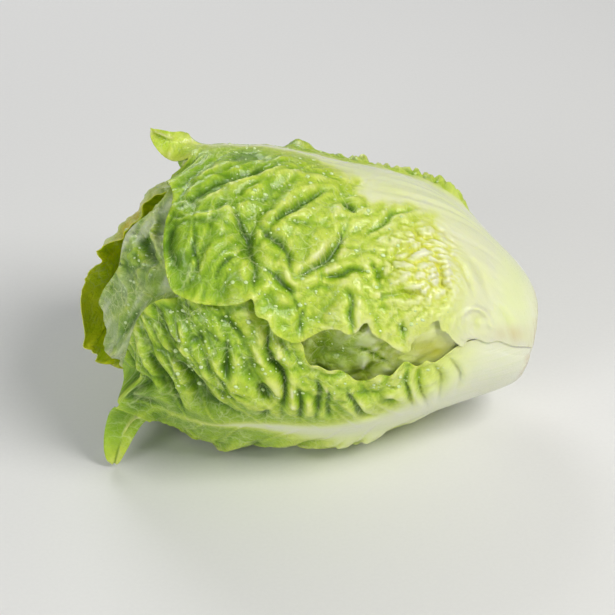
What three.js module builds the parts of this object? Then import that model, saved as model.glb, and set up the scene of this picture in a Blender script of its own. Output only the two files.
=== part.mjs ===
// A romaine heart lying on its side: a short cone of stem with twelve leaves wrapped round it, outer leaves last.
// Millimetres and degrees. +X points out of the cut stem end, +Z is up, and the head rests on the plane z = 0.
//
// Every surface is given in the head's own coordinates. "along" runs from the cut, over the head's side, to the
// middle of the round tip end. "around" turns about the axis from the front seam, where the two outermost leaves
// meet, positive upwards. "out" is the distance from the axis. All leaves share one grid of rays, so leaves that
// are in order on each ray of the grid never cross between the rays.

import * as THREE from "three";

const { clamp, degToRad, lerp, smoothstep } = THREE.MathUtils;

// The head's outside.
const CUT_RADIUS = 13.8;
const BODY_RADIUS = 45;
const TAPER_LENGTH = 80;
const TAPER_POWER = 2.2;
const TAPER_EASE = 0.8;
const TIP_START = 88;
const FLOOR_DEPTH = 43;
const FLOOR_EASE = 5;

// The axis: the cut end hangs lower than the body, the belly hangs a little, and the cut is tilted.
const CUT_DROP = 11.2;
const CUT_DROP_LENGTH = 30;
const BELLY_DROP = 4.1;
const BELLY_START = 50;
const BELLY_END = 86;
const CUT_TILT = 13;
const CUT_TILT_LENGTH = 60;
const FRONT_ROLL = 32;

// The middle of the tip end is turned towards the front and dips.
const TIP_TURN = 15;
const TIP_DIP = 13;

// The grid of rays.
const BODY_RINGS = 14;
const TIP_RINGS = 12;
const TIP_LAST_ANGLE = 84;
const COLUMNS = 40;

// The stem inside the head.
const CORE_RADIUS = 7.6;
const CORE_LENGTH = 54;

// Leaf sections. The rib swells towards the axis and fades towards the tip.
const BLADE = 0.8;
const GAP = 0.35;
const RIB_BASE = 4.6;
const RIB_LENGTH = 105;
const RIB_HALF_WIDTH_BASE = 15;
const RIB_HALF_WIDTH_TIP = 5;
const ATTACH_LENGTH = 26;
const FILL_LENGTH = 18;

// The relief of a blade: puckers between the side veins, which climb towards the tip, and waves at the margin.
const PUCKER_LENGTH = 19;
const PUCKER_WIDTH = 27;
const VEIN_SLOPE = 0.6;
const SMOOTH_ROOT = 12;
const PUCKERED_FROM = 45;
const WAVES_START = 20;
const WAVES_FULL = 50;
const FLARE_LENGTH = 45;

// The tongue at a tip: how round its end is, and how far from the midrib, in degrees, the blade reaches its tip.
const TONGUE_ROUNDING = 0.4;
const SHOULDER_WIDTH = 32;

// Outlines are cut no closer than this share of a grid edge to its ends.
const EDGE_SNAP = 0.12;
const FLOOR_SNAP = 0.7;

// How the half width grows along a leaf.
const WAIST_AT = 28;
const WIDEST_AT = 82;

// Leaves follow each other round the stem by this turn. The outermost comes first.
const DIVERGENCE = 137.5;
const FIRST_RIB = 78;

// "share" is how far out the blade lies, as a share of the head's radius. The half widths "sheath", "waist" and
// "wide" are degrees around the head, at the root, near the root and past the middle. "blunt" rounds the tip,
// "lean" is how far the midrib has turned at the tip, and "flare" lifts the whole tip off the head. An "attached"
// leaf grows from the stem inside the head. The others make the head's outside down to the cut.
const PLAIN_LEAF = {
  attached: true,
  start: 0,
  sheath: 70,
  waist: 72,
  wide: 92,
  blunt: 3,
  lean: 0,
  lobe: 6,
  lobeLength: 29,
  lobePhase: 0,
  wave: 1.6,
  waveLength: 26,
  pucker: 0.9,
  flare: 0,
  ribShare: 1,
  frontSide: 0,
  swellings: [],
};

// The outermost leaf lies over the upper half. Its front margin, as degrees from the midrib at a place along, hangs
// in broad lobes. It swells where it leaves its white base, at the flap near its tip, and behind the midrib.
const UPPER_LEAF = {
  ...{ attached: false, share: 0.985, tip: 113, sheath: 92, waist: 92, wide: 95, blunt: 5, lean: 3, wave: 2.4 },
  lobePhase: -56,
  frontSide: -1,
  frontMargin: [[0, 98], [8, 98], [19, 104], [25, 88], [38, 101], [56, 89], [72, 100], [82, 86], [95, 89], [106, 86]],
  tongue: { hinge: 97, shoulder: 108, end: 119, halfWidth: 10, radius: 13.5, liftedTo: 8, flatFrom: 36 },
  swellings: [
    { along: 36, around: 14, reach: 15, height: 2.5 },
    { along: 96, around: 18, reach: 12, height: 3 },
    { along: 82, around: 20, reach: 7, height: -2.5 },
    { along: 34, around: 112, reach: 13, height: 4 },
  ],
};

// The second leaf lies under the lower half. Its front margin stands back from the first leaf's in the middle.
const LOWER_LEAF = {
  ...{ attached: false, share: 0.975, tip: 125, sheath: 74, waist: 76, blunt: 4, lean: -3.5, wave: 2.2 },
  lobeLength: 23,
  frontSide: 1,
  frontMargin: [[0, 48], [8, 45], [16, 26], [38, 21], [50, 27], [70, 31], [80, 50], [90, 63], [106, 66]],
  tongue: { hinge: 100, shoulder: 116, end: 130, halfWidth: 11, radius: 20, liftedTo: 9, flatFrom: 38 },
};

// The third leaf lies behind and under the head and wraps over its tip end.
const BACK_LEAF = {
  ...{ attached: false, share: 0.92, tip: 153, sheath: 97, waist: 84, wide: 96, lean: 4, wave: 1.8, flare: 3 },
  lobePhase: 120,
};

const OUTER_LEAVES = [
  UPPER_LEAF,
  LOWER_LEAF,
  BACK_LEAF,
  { share: 0.875, tip: 139, sheath: 62, waist: 74, lean: -34, waveLength: 24 },
  { share: 0.815, start: 9, tip: 140, lean: 8, lobePhase: 90 },
  { share: 0.755, start: 13, tip: 138, lean: -6, lobePhase: 40 },
];

// The heart's leaves grow shorter, tighter and more finely ribbed towards the middle.
const HEART_LEAVES = 6;
const HEART_SHARE = 0.68;
const HEART_SHARE_STEP = 0.085;
const HEART_START = 18;
const HEART_START_STEP = 4;
const HEART_TIP = 134;
const HEART_TIP_STEP = 5;
const HEART_LEAN = 8;
const HEART_LOBE_TURN = 70;
const HEART_RIB_SHARE = 0.62;
const HEART_RIB_STEP = 0.05;

const COLOURS = { core: "#e9e6c8", outer: "#8fbe3c", heart: "#d3dc74" };

// How far out the head's outside is, before the floor flattens it.
function headRadius(along) {
  const left = 1 - Math.min(along / TAPER_LENGTH, 1);
  return CUT_RADIUS + (BODY_RADIUS - CUT_RADIUS) * (1 - left ** TAPER_POWER) ** TAPER_EASE;
}

function coreRadius(along) {
  return along < CORE_LENGTH ? CORE_RADIUS * Math.sqrt(1 - (along / CORE_LENGTH) ** 2) : 0;
}

function axisDrop(along) {
  const cut = CUT_DROP * Math.max(1 - along / CUT_DROP_LENGTH, 0) ** 2;
  return cut + BELLY_DROP * (1 - smoothstep(along, BELLY_START, BELLY_END));
}

// The ray at a place along and around the head: where it leaves the axis, and its direction.
function rayAt(along, around) {
  const s = Math.min(along, TIP_START);
  const tilt = degToRad(CUT_TILT * Math.max(1 - s / CUT_TILT_LENGTH, 0));
  const origin = new THREE.Vector3(-s, 0, -axisDrop(s));
  const up = new THREE.Vector3(Math.sin(tilt), 0, Math.cos(tilt));
  const roundAngle = degToRad(around + FRONT_ROLL);
  const direction = up.multiplyScalar(Math.sin(roundAngle));
  direction.y -= Math.cos(roundAngle);
  if (along > TIP_START) {
    const fan = (along - TIP_START) / BODY_RADIUS;
    direction.multiplyScalar(Math.cos(fan));
    direction.x -= Math.sin(fan);
    const roll = degToRad(FRONT_ROLL);
    const turn = new THREE.Vector3(0, Math.sin(roll), Math.cos(roll)).multiplyScalar(degToRad(TIP_TURN));
    turn.addScaledVector(new THREE.Vector3(0, -Math.cos(roll), Math.sin(roll)), degToRad(TIP_DIP));
    direction.applyAxisAngle(turn.clone().normalize(), turn.length() * (fan / (Math.PI / 2)));
  }
  return { origin, direction };
}

function pointOn({ origin, direction }, out) {
  return direction.clone().multiplyScalar(out).add(origin);
}

// The rays of the grid, as rings of columns. Every second ring and column makes the coarse grid of the heart leaves.
// "limit" is where the head's outside or the floor stops a ray. "clear" is 0 where the leaves lie flat on the floor.
function makeGrid(step) {
  const tipArc = degToRad(TIP_LAST_ANGLE) * BODY_RADIUS;
  const alongs = [];
  for (let j = 0; j <= BODY_RINGS + TIP_RINGS; j += step) {
    const inTip = Math.max(j - BODY_RINGS, 0);
    alongs.push((Math.min(j, BODY_RINGS) * TIP_START) / BODY_RINGS + (inTip * tipArc) / TIP_RINGS);
  }
  const columns = COLUMNS / step;
  const nodes = alongs.flatMap((along, ring) =>
    Array.from({ length: columns }, (_, column) => {
      const around = (column * 360) / columns;
      const ray = rayAt(along, around);
      const floor = ray.direction.z < 0 ? (FLOOR_DEPTH + ray.origin.z) / -ray.direction.z : Infinity;
      const clear = smoothstep(floor - headRadius(along), 0, FLOOR_EASE);
      return { along, around, ring, column, ...ray, clear, limit: Math.min(headRadius(along), floor) };
    }),
  );
  return { nodes, rings: alongs.length, columns };
}

// The grid's triangles as triples of node numbers, all split along the same diagonal.
function gridTriangles({ rings, columns }) {
  const triangles = [];
  for (let ring = 0; ring + 1 < rings; ring++)
    for (let column = 0; column < columns; column++) {
      const a = ring * columns + column;
      const b = ring * columns + ((column + 1) % columns);
      triangles.push([a, b, b + columns], [a, b + columns, a + columns]);
    }
  return triangles;
}

// The pile's height on a grid twice as fine.
function refineHeights(heights, coarse, fine) {
  const at = (ring, column) => heights[ring * coarse.columns + (column % coarse.columns)];
  return fine.nodes.map(({ ring, column }) => {
    const [r, c] = [ring >> 1, column >> 1];
    return (at(r, c) + at(r + (ring & 1), c + (column & 1))) / 2;
  });
}

function wave(turns, phase) {
  return Math.sin(2 * Math.PI * turns + degToRad(phase));
}

// A smooth run through pairs of place and value.
function runThrough(pairs, place) {
  const next = pairs.findIndex(([at]) => at > place);
  if (next < 0) return pairs.at(-1)[1];
  const [before, after] = [pairs[next - 1], pairs[next]];
  return lerp(before[1], after[1], smoothstep(place, before[0], after[0]));
}

// Half the leaf's width on one side, in degrees, before its tip rounds it off.
function openHalfWidth(leaf, along, side) {
  if (side === leaf.frontSide) return runThrough(leaf.frontMargin, along);
  const root = lerp(leaf.sheath, leaf.waist, smoothstep(along, leaf.start, leaf.start + WAIST_AT));
  const lobes = leaf.lobe * wave(along / leaf.lobeLength, leaf.lobePhase);
  return lerp(root, leaf.wide, smoothstep(along, WAIST_AT, WIDEST_AT)) + lobes;
}

// Where a ray stands on the leaf: degrees from the midrib, and the share of the half width, 1 at the margin.
function placeOn(leaf, along, around) {
  const fromRib = around - leaf.rib - (leaf.lean * along) / leaf.tip;
  const turned = ((((fromRib + 180) % 360) + 360) % 360) - 180;
  const toTip = clamp((along - leaf.tip / 2) / (leaf.tip / 2), 0, 1);
  const rounded = (1 - toTip ** leaf.blunt) ** (1 / leaf.blunt);
  const halfWidth = openHalfWidth(leaf, along, Math.sign(turned)) * rounded;
  return { turned, across: Math.abs(turned) / Math.max(halfWidth, 1e-3) };
}

// Above zero inside the leaf's outline, which is its blade and the tongue at its tip.
function inside(leaf, { along, around }) {
  const { turned, across } = placeOn(leaf, along, around);
  const blade = along < leaf.tip ? Math.min(1 - across, (along - leaf.start) / ATTACH_LENGTH + 1e-6) : -1;
  const { tongue } = leaf;
  if (!tongue || along < tongue.hinge || along > tongue.end) return blade;
  const besideTongue = smoothstep(Math.abs(turned), tongue.halfWidth, SHOULDER_WIDTH);
  const bladeEnd = lerp(tongue.shoulder, leaf.tip, besideTongue);
  const left = (tongue.end - along) / (tongue.end - tongue.shoulder);
  const onTongue = 1 - Math.abs(turned) / (tongue.halfWidth * Math.min(left, 1) ** TONGUE_ROUNDING);
  return Math.max(Math.min(blade, (bladeEnd - along) / ATTACH_LENGTH), onTongue);
}

function thickness(leaf, along, turned) {
  const left = Math.max(1 - along / RIB_LENGTH, 0);
  const reach = lerp(RIB_HALF_WIDTH_TIP, RIB_HALF_WIDTH_BASE, left ** 2);
  const fromRib = degToRad(turned) * headRadius(along);
  return BLADE + RIB_BASE * leaf.ribShare * left * Math.exp(-((fromRib / reach) ** 2));
}

// How far the blade stands out of its plain round shape.
function relief(leaf, along, around, { turned, across }) {
  const radius = headRadius(along);
  const fromRib = degToRad(Math.abs(turned)) * radius;
  const awayFromRoot = smoothstep(along, leaf.start + SMOOTH_ROOT, leaf.start + PUCKERED_FROM);
  const puckered = awayFromRoot * smoothstep(across, 0, 0.3);
  const rows = wave((along - VEIN_SLOPE * fromRib) / PUCKER_LENGTH, leaf.rib);
  const puckers = leaf.pucker * puckered * rows * wave(fromRib / PUCKER_WIDTH, leaf.rib + 60);
  const edge = smoothstep(across, 0.6, 1) * smoothstep(along, WAVES_START, WAVES_FULL);
  const waves = leaf.wave * edge * wave(along / leaf.waveLength, leaf.rib);
  const flare = leaf.flare * smoothstep(along, leaf.tip - FLARE_LENGTH, leaf.tip);
  const swellings = leaf.swellings.map((swelling) => {
    const distance = Math.hypot(along - swelling.along, degToRad(around - swelling.around) * radius);
    return swelling.height * Math.exp(-((distance / swelling.reach) ** 2));
  });
  return swellings.reduce((sum, height) => sum + height, puckers + waves + flare);
}

// The leaf's inner and outer distance on one ray. At its root it fills the room down to the pile.
function facesOn(leaf, node, pile) {
  const place = placeOn(leaf, node.along, node.around);
  const thick = thickness(leaf, node.along, place.turned);
  const free = leaf.attached ? smoothstep(node.along, leaf.start, leaf.start + ATTACH_LENGTH) : 1;
  const shell = leaf.share * node.limit + node.clear * relief(leaf, node.along, node.around, place);
  const top = lerp(coreRadius(node.along) + GAP + thick, shell, free);
  const bottom = pile + GAP;
  const filled = 1 - smoothstep(node.along, leaf.start, leaf.start + FILL_LENGTH);
  const low = Math.max(lerp(top - thick, bottom, filled), bottom);
  return { low, high: Math.max(top, low + thick), turned: place.turned };
}

// The inner and outer point of a node. Past its hinge the tongue leaves the head along an arc that bends outwards.
function pointsOn({ tongue }, node, { low, high, turned }) {
  const outer = pointOn(node, high);
  const inner = pointOn(node, low);
  if (!tongue || node.along < tongue.hinge) return { outer, inner };
  const hinge = rayAt(tongue.hinge, node.around);
  const root = pointOn(hinge, high);
  const onward = pointOn(rayAt(tongue.hinge + 1, node.around), high).sub(root).normalize();
  const bent = (node.along - tongue.hinge) / tongue.radius;
  const arc = root
    .addScaledVector(onward, tongue.radius * Math.sin(bent))
    .addScaledVector(hinge.direction, tongue.radius * (1 - Math.cos(bent)));
  const outwards = hinge.direction.multiplyScalar(Math.cos(bent)).addScaledVector(onward, -Math.sin(bent));
  const lifted = 1 - smoothstep(Math.abs(turned), tongue.liftedTo, tongue.flatFrom);
  const normal = node.direction.clone().lerp(outwards, lifted).normalize();
  outer.lerp(arc, lifted);
  return { outer, inner: normal.multiplyScalar(low - high).add(outer) };
}

// Lays one leaf on the pile and returns its closed blade.
function layLeaf(leaf, grid, triangles, heights) {
  const values = grid.nodes.map((node) => inside(leaf, node));
  const covered = new Set(triangles.filter((t) => t.some((n) => values[n] > 0)).flat());
  const inner = new Array(grid.nodes.length);
  const outer = new Array(grid.nodes.length);
  for (const n of covered) {
    const faces = facesOn(leaf, grid.nodes[n], heights[n]);
    const points = pointsOn(leaf, grid.nodes[n], faces);
    inner[n] = points.inner;
    outer[n] = points.outer;
    heights[n] = Math.max(heights[n], faces.high);
  }
  return closedSheet(clipToOutline(triangles, values), inner, outer);
}

// The triangles inside the outline. A corner is a node, or a point between two nodes where the outline crosses.
function clipToOutline(triangles, values) {
  const pieces = [];
  for (const triangle of triangles) {
    const corners = [];
    triangle.forEach((n, i) => {
      const next = triangle[(i + 1) % 3];
      if (values[n] > 0) corners.push({ from: n, to: n, share: 0 });
      if (values[n] > 0 !== values[next] > 0) {
        const [from, to] = n < next ? [n, next] : [next, n];
        const share = clamp(values[from] / (values[from] - values[to]), EDGE_SNAP, 1 - EDGE_SNAP);
        corners.push({ from, to, share });
      }
    });
    for (let i = 2; i < corners.length; i++) pieces.push([corners[0], corners[i - 1], corners[i]]);
  }
  return pieces;
}

// A blade from its inner and outer faces, split alike, with walls along its outline.
function closedSheet(pieces, inner, outer) {
  const numbers = new Map();
  const corners = [];
  const faces = pieces.map((piece) =>
    piece.map((corner) => {
      const key = `${corner.from}:${corner.to}`;
      if (!numbers.has(key)) numbers.set(key, corners.push(corner) - 1);
      return numbers.get(key);
    }),
  );
  const place = (side) => corners.map(({ from, to, share }) => side[from].clone().lerp(side[to], share));
  const points = [...place(outer), ...place(inner)];
  const count = corners.length;
  const edges = new Set(faces.flatMap(([a, b, c]) => [`${a},${b}`, `${b},${c}`, `${c},${a}`]));
  const index = faces.flatMap(([a, b, c]) => [a, b, c, a + count, c + count, b + count]);
  for (const edge of edges) {
    const [a, b] = edge.split(",").map(Number);
    if (!edges.has(`${b},${a}`)) index.push(b, a, a + count, b, a + count, b + count);
  }
  return geometryFrom(points, index);
}

function geometryFrom(points, index) {
  const geometry = new THREE.BufferGeometry().setFromPoints(points);
  geometry.setIndex(index);
  geometry.computeVertexNormals();
  return geometry;
}

// The stem: rings round the axis, closed by the cut at one end and a point at the other.
function coreGeometry(grid) {
  const rings = grid.nodes.filter((node) => node.along < CORE_LENGTH);
  const points = rings.map((node) => pointOn(node, coreRadius(node.along)));
  const last = points.length - grid.columns;
  const centre = points.push(rings[0].origin.clone()) - 1;
  const point = points.push(rayAt(CORE_LENGTH, 0).origin) - 1;
  const index = gridTriangles({ rings: rings.length / grid.columns, columns: grid.columns }).flat();
  for (let column = 0; column < grid.columns; column++) {
    const next = (column + 1) % grid.columns;
    index.push(centre, next, column, point, last + column, last + next);
  }
  return geometryFrom(points, index);
}

function heartLeaf(i) {
  return {
    ...PLAIN_LEAF,
    name: `heart_leaf_${i + 1}`,
    colour: COLOURS.heart,
    share: HEART_SHARE - HEART_SHARE_STEP * i,
    start: HEART_START + HEART_START_STEP * i,
    tip: HEART_TIP - HEART_TIP_STEP * i,
    lean: HEART_LEAN * (-1) ** i,
    lobePhase: HEART_LOBE_TURN * i,
    wave: 1.2,
    ribShare: HEART_RIB_SHARE - HEART_RIB_STEP * i,
  };
}

// Every leaf with its place in the spiral, from the innermost to the outermost.
function allLeaves() {
  const outer = OUTER_LEAVES.map((leaf, i) => ({
    ...PLAIN_LEAF,
    ...leaf,
    name: `outer_leaf_${i + 1}`,
    colour: COLOURS.outer,
  }));
  const heart = Array.from({ length: HEART_LEAVES }, (_, i) => heartLeaf(i));
  return [...outer, ...heart].map((leaf, i) => ({ ...leaf, rib: FIRST_RIB - DIVERGENCE * i })).reverse();
}

// Moves the head up until it stands on the floor, and lays its lowest points flat on it.
function setOnFloor(meshes) {
  const positions = meshes.map((mesh) => mesh.geometry.getAttribute("position"));
  const lowest = Math.min(...positions.map((position) => new THREE.Box3().setFromBufferAttribute(position).min.z));
  const box = new THREE.Box3();
  for (const position of positions) {
    for (let i = 0; i < position.count; i++) {
      const z = position.getZ(i) - lowest;
      position.setZ(i, z < FLOOR_SNAP ? 0 : z);
    }
    box.union(new THREE.Box3().setFromBufferAttribute(position));
  }
  const centre = box.getCenter(new THREE.Vector3());
  for (const mesh of meshes) mesh.geometry.translate(-centre.x, -centre.y, 0);
}

function addNamed(group, name, geometry, colour) {
  const material = new THREE.MeshStandardMaterial({ color: colour, roughness: 0.45, metalness: 0 });
  const mesh = new THREE.Mesh(geometry, material);
  mesh.name = name;
  group.add(mesh);
}

const head = new THREE.Group();
const coarse = makeGrid(2);
const fine = makeGrid(1);
addNamed(head, "stem_core", coreGeometry(coarse), COLOURS.core);

let grid = coarse;
let triangles = gridTriangles(grid);
let heights = grid.nodes.map(({ along }) => coreRadius(along));
for (const leaf of allLeaves()) {
  if (leaf.name.startsWith("outer") && grid === coarse) {
    heights = refineHeights(heights, coarse, fine);
    grid = fine;
    triangles = gridTriangles(grid);
  }
  addNamed(head, leaf.name, layLeaf(leaf, grid, triangles, heights), leaf.colour);
}
setOnFloor(head.children);

export default head;
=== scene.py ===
"""A romaine heart on a pale floor: fine leaves over the solid head, with veins, puckers and water drops.

Shapes are worked out in millimetres in the head's own coordinates, like the solid leaves: "along" runs from
the cut over the head's side to the middle of the tip end, "around" turns about the axis from the front seam
in degrees, positive upwards, and "out" is the distance from the axis. All leaves share one grid of rays.
Folds that only the front view shows are placed in that view, whose frame is 615 pixels wide and high.
"""

import math

import bpy
import numpy as np
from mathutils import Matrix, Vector


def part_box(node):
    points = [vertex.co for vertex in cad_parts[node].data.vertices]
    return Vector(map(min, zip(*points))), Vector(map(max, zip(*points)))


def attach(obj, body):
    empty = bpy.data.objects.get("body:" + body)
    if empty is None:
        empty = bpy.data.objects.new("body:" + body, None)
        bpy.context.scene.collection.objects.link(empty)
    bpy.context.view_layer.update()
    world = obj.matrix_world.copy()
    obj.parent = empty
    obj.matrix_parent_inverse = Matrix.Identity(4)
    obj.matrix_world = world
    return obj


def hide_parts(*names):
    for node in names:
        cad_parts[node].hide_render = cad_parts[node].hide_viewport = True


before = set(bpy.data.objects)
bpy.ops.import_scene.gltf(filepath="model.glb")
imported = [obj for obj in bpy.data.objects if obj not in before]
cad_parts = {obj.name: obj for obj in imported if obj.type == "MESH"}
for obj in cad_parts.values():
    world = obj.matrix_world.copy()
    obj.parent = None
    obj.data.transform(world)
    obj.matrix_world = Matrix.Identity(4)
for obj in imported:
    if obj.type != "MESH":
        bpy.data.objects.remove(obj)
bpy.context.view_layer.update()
MM = 0.001
ABOVE_FLOOR = 0.00002

# The head's outside, its axis and its tip end, as in the solid model.
CUT_RADIUS = 13.8
BODY_RADIUS = 45.0
TAPER_LENGTH = 80.0
TAPER_POWER = 2.2
TAPER_EASE = 0.8
TIP_START = 88.0
FLOOR_DEPTH = 43.0
FLOOR_EASE = 5.0
CUT_DROP = 11.2
CUT_DROP_LENGTH = 30.0
BELLY_DROP = 4.1
BELLY_START = 50.0
BELLY_END = 86.0
CUT_TILT = 13.0
CUT_TILT_LENGTH = 60.0
FRONT_ROLL = 32.0
TIP_TURN = 15.0
TIP_DIP = 13.0
CORE_RADIUS = 7.6
CORE_LENGTH = 54.0
SOLID_RINGS = 14
SOLID_STEM_STEP = 18.0

# The fine grid of rays.
RING_STEP = 0.75
COLUMNS = 480
COLUMN_STEP = 0.6
TIP_LAST_ANGLE = 89.0

# Leaf sections.
BLADE = 0.5
GAP = 0.3
RIB_BASE = 4.6
RIB_LENGTH = 105.0
RIB_HALF_WIDTH_BASE = 15.0
RIB_HALF_WIDTH_TIP = 5.0
ATTACH_LENGTH = 26.0
FILL_LENGTH = 18.0
WAIST_AT = 28.0
WIDEST_AT = 82.0
SHOULDER_WIDTH = 32.0
UNDER_MARGIN = 3.0

DIVERGENCE = 137.5
FIRST_RIB = 78.0

# The camera and the front view.
FRAME_PIXELS = 615
FRAME_WIDTH = 184.5
LENS = 120.0
SENSOR = 36.0
ELEVATION = 32.0
VIEW_CENTRE_LEFT = 66.15
VIEW_CENTRE_UP = -4.65

# Outlines in the front view, in its pixels.
UPPER_OUTLINE = [
    (150, 40), (148, 140), (151, 162), (161, 175), (170, 186), (173, 198), (170, 210), (166, 223),
    (164, 245), (166, 269), (171, 288), (181, 298), (203, 305), (226, 307), (243, 303), (253, 299),
    (256, 315), (267, 320), (271, 331), (281, 339), (296, 343), (308, 338), (321, 331), (330, 329),
    (340, 330), (346, 334), (355, 333), (363, 324), (368, 323), (374, 334), (386, 341), (396, 349),
    (404, 354), (411, 351), (413, 343), (424, 333), (432, 324), (439, 321), (442, 330), (447, 332),
    (453, 340), (462, 347), (467, 341), (476, 339), (488, 343), (500, 341), (512, 346), (530, 347),
    (600, 348), (600, 40),
]
LOWER_OUTLINE = [
    (215, 280), (176, 297), (160, 300), (146, 308), (136, 323), (130, 342), (126, 356), (122, 368),
    (120, 382), (113, 391), (115, 403), (132, 411), (150, 422), (166, 450), (170, 580), (600, 580),
    (600, 334), (530, 333), (505, 335), (485, 336), (476, 339), (466, 342), (457, 346), (446, 354),
    (434, 362), (426, 360), (417, 366), (406, 361), (398, 368), (390, 376), (380, 375), (370, 380),
    (357, 381), (348, 374), (338, 370), (328, 371), (317, 366), (310, 366), (305, 358), (303, 348),
    (298, 340), (292, 320), (270, 290),
]
WHITE_OUTLINE = [
    (318, 162), (340, 172), (356, 184), (366, 200), (396, 208), (413, 209), (432, 216), (445, 236),
    (460, 249), (468, 262), (470, 285), (464, 308), (468, 330), (470, 350), (600, 352), (600, 80),
    (420, 80), (330, 140),
]
LEFT_OUTLINE = [
    (182, 168), (168, 190), (156, 209), (143, 218), (127, 234), (121, 253), (119, 266), (113, 277),
    (105, 288), (100, 300), (97, 315), (98, 332), (102, 346), (110, 356), (120, 366), (128, 385),
    (140, 410), (300, 470), (600, 470), (600, 60), (240, 60),
]

# Ovals in the front view: the middle, then half the width and half the height, in pixels.
BALL = (412, 272, 46, 52)
STAIN_SPOT = (511, 334, 13, 8)
GAP_SPOT = (432, 349, 27, 13)
# The next oval is painted shade, under the first leaf's margin.
SHADED_HOLLOW_SPOT = (334, 351, 50, 26)

# Where the ball's puffs fan out from, and its yellow heart with the reach of its fading.
BALL_ROOT = (482, 262)
BALL_HEART = (446, 256)
BALL_HEART_REACH = (22, 74)

# Rows between which the leaf behind comes out at the top, goes in at the bottom, and flares.
BEHIND_TOP = (158, 186)
BEHIND_BOTTOM = (358, 382)
FLARE_ROWS = (225, 305)

# Folds in the front view: points in pixels, then the width in pixels and the height in millimetres.
UPPER_FOLDS = [
    ([(186, 208), (197, 199), (213, 186), (229, 177), (246, 173), (267, 171), (290, 167)], 6, -2.7),
    ([(200, 206), (219, 194), (232, 186), (251, 179), (275, 176), (309, 178), (330, 186)], 5, 1.6),
    ([(172, 220), (181, 223), (203, 220), (219, 215), (235, 210), (246, 202), (259, 197)], 2.2, 0.9),
    ([(237, 211), (243, 228), (248, 247), (253, 261), (256, 277), (253, 293)], 6, -2.6),
    ([(172, 226), (175, 245), (178, 262), (184, 276)], 6, -1.3),
    ([(197, 224), (197, 250), (199, 276)], 1.6, -0.7),
    ([(246, 246), (234, 257), (221, 266), (213, 284)], 1.6, -0.6),
    ([(226, 150), (250, 153), (262, 160)], 7, -1.5),
    ([(272, 222), (290, 209), (310, 197), (332, 190)], 4, -2.4),
    ([(259, 222), (272, 236), (284, 250), (292, 266), (296, 276)], 4, -1.6),
    ([(296, 276), (316, 268), (332, 253), (341, 236), (347, 221)], 4, -2.6),
    ([(262, 262), (276, 277), (290, 290), (296, 308)], 4, -1.8),
    ([(319, 276), (338, 277), (352, 271), (366, 275)], 3.5, -1.8),
    ([(341, 200), (349, 206), (353, 213)], 4, -2.0),
    ([(362, 238), (372, 228), (389, 218), (403, 211), (420, 210)], 3.5, -1.5),
    ([(330, 225), (338, 212), (343, 198)], 3.5, 1.2),
    ([(432, 250), (439, 268), (441, 284), (447, 292), (444, 302), (437, 316)], 3.5, -1.5),
    ([(370, 262), (379, 275), (381, 291)], 3.5, -1.8),
    ([(378, 300), (390, 293), (412, 295), (425, 300)], 3.2, -1.8),
    ([(402, 322), (402, 340)], 3, -1.2),
    ([(354, 333), (349, 318), (352, 303), (346, 290)], 3, -1.2),
    ([(304, 337), (300, 320), (306, 303)], 3, -1.0),
    ([(462, 338), (460, 322), (466, 311), (476, 308), (486, 314), (492, 328), (493, 338)], 2.4, 1.1),
    ([(451, 332), (454, 319), (461, 312)], 2.4, 0.9),
    ([(470, 300), (466, 284), (458, 270)], 2.4, 0.9),
    ([(474, 334), (474, 322), (480, 316)], 2.6, -0.9),
    ([(452, 262), (466, 279), (473, 298)], 3.0, -0.9),
    ([(466, 256), (482, 276), (490, 300)], 3.4, -0.8),
    ([(496, 304), (505, 316), (508, 330)], 3.0, -0.7),
]
LOWER_FOLDS = [
    ([(146, 370), (153, 390), (165, 411)], 5, -2.0),
    ([(150, 355), (165, 373), (176, 391), (184, 411)], 5, -2.4),
    ([(186, 364), (192, 377), (202, 391), (213, 403), (238, 412)], 6, -3.2),
    ([(225, 335), (229, 358), (225, 386)], 4, -2.0),
    ([(205, 330), (209, 349), (222, 372), (240, 400)], 3, 1.4),
    ([(180, 320), (183, 345), (188, 362)], 3, 1.0),
    ([(267, 326), (268, 350), (281, 369), (285, 390), (283, 413)], 4.5, -3.2),
    ([(257, 382), (264, 388), (271, 396)], 4, -1.8),
    ([(259, 409), (270, 416)], 4, -1.6),
    ([(274, 362), (280, 352), (276, 340)], 3, 1.2),
    ([(298, 384), (302, 400), (300, 420)], 3, -1.5),
    ([(315, 378), (318, 396), (316, 418)], 3, -1.5),
    ([(329, 386), (327, 403), (331, 421)], 2.6, -1.2),
    ([(348, 385), (362, 412), (376, 416)], 3, -1.6),
    ([(385, 400), (398, 402)], 3, -1.4),
    ([(409, 368), (407, 384), (413, 408)], 3.4, -1.9),
    ([(423, 366), (420, 384), (427, 404)], 3.4, -1.8),
    ([(436, 364), (440, 380), (438, 399)], 3.4, -1.6),
    ([(450, 358), (458, 374), (455, 392)], 3.0, -1.3),
]
LEFT_FOLDS = [
    ([(143, 228), (149, 250), (156, 262)], 5, -2.2),
    ([(157, 210), (158, 238), (163, 262)], 3, 1.6),
    ([(127, 240), (125, 268), (130, 290), (128, 312)], 3, 1.2),
    ([(176, 292), (146, 300), (132, 318), (123, 338)], 5, -2.0),
    ([(163, 200), (148, 224), (137, 248), (130, 268)], 1.8, 0.7),
    ([(152, 258), (142, 270), (137, 286), (140, 300)], 1.8, 0.7),
    ([(162, 262), (151, 274), (147, 290)], 1.8, 0.6),
    ([(310, 340), (322, 346), (332, 352)], 16, -2.6),
    ([(352, 342), (372, 352), (392, 366)], 3, -1.2),
    ([(366, 358), (365, 374)], 2, 1.0),
]

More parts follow.
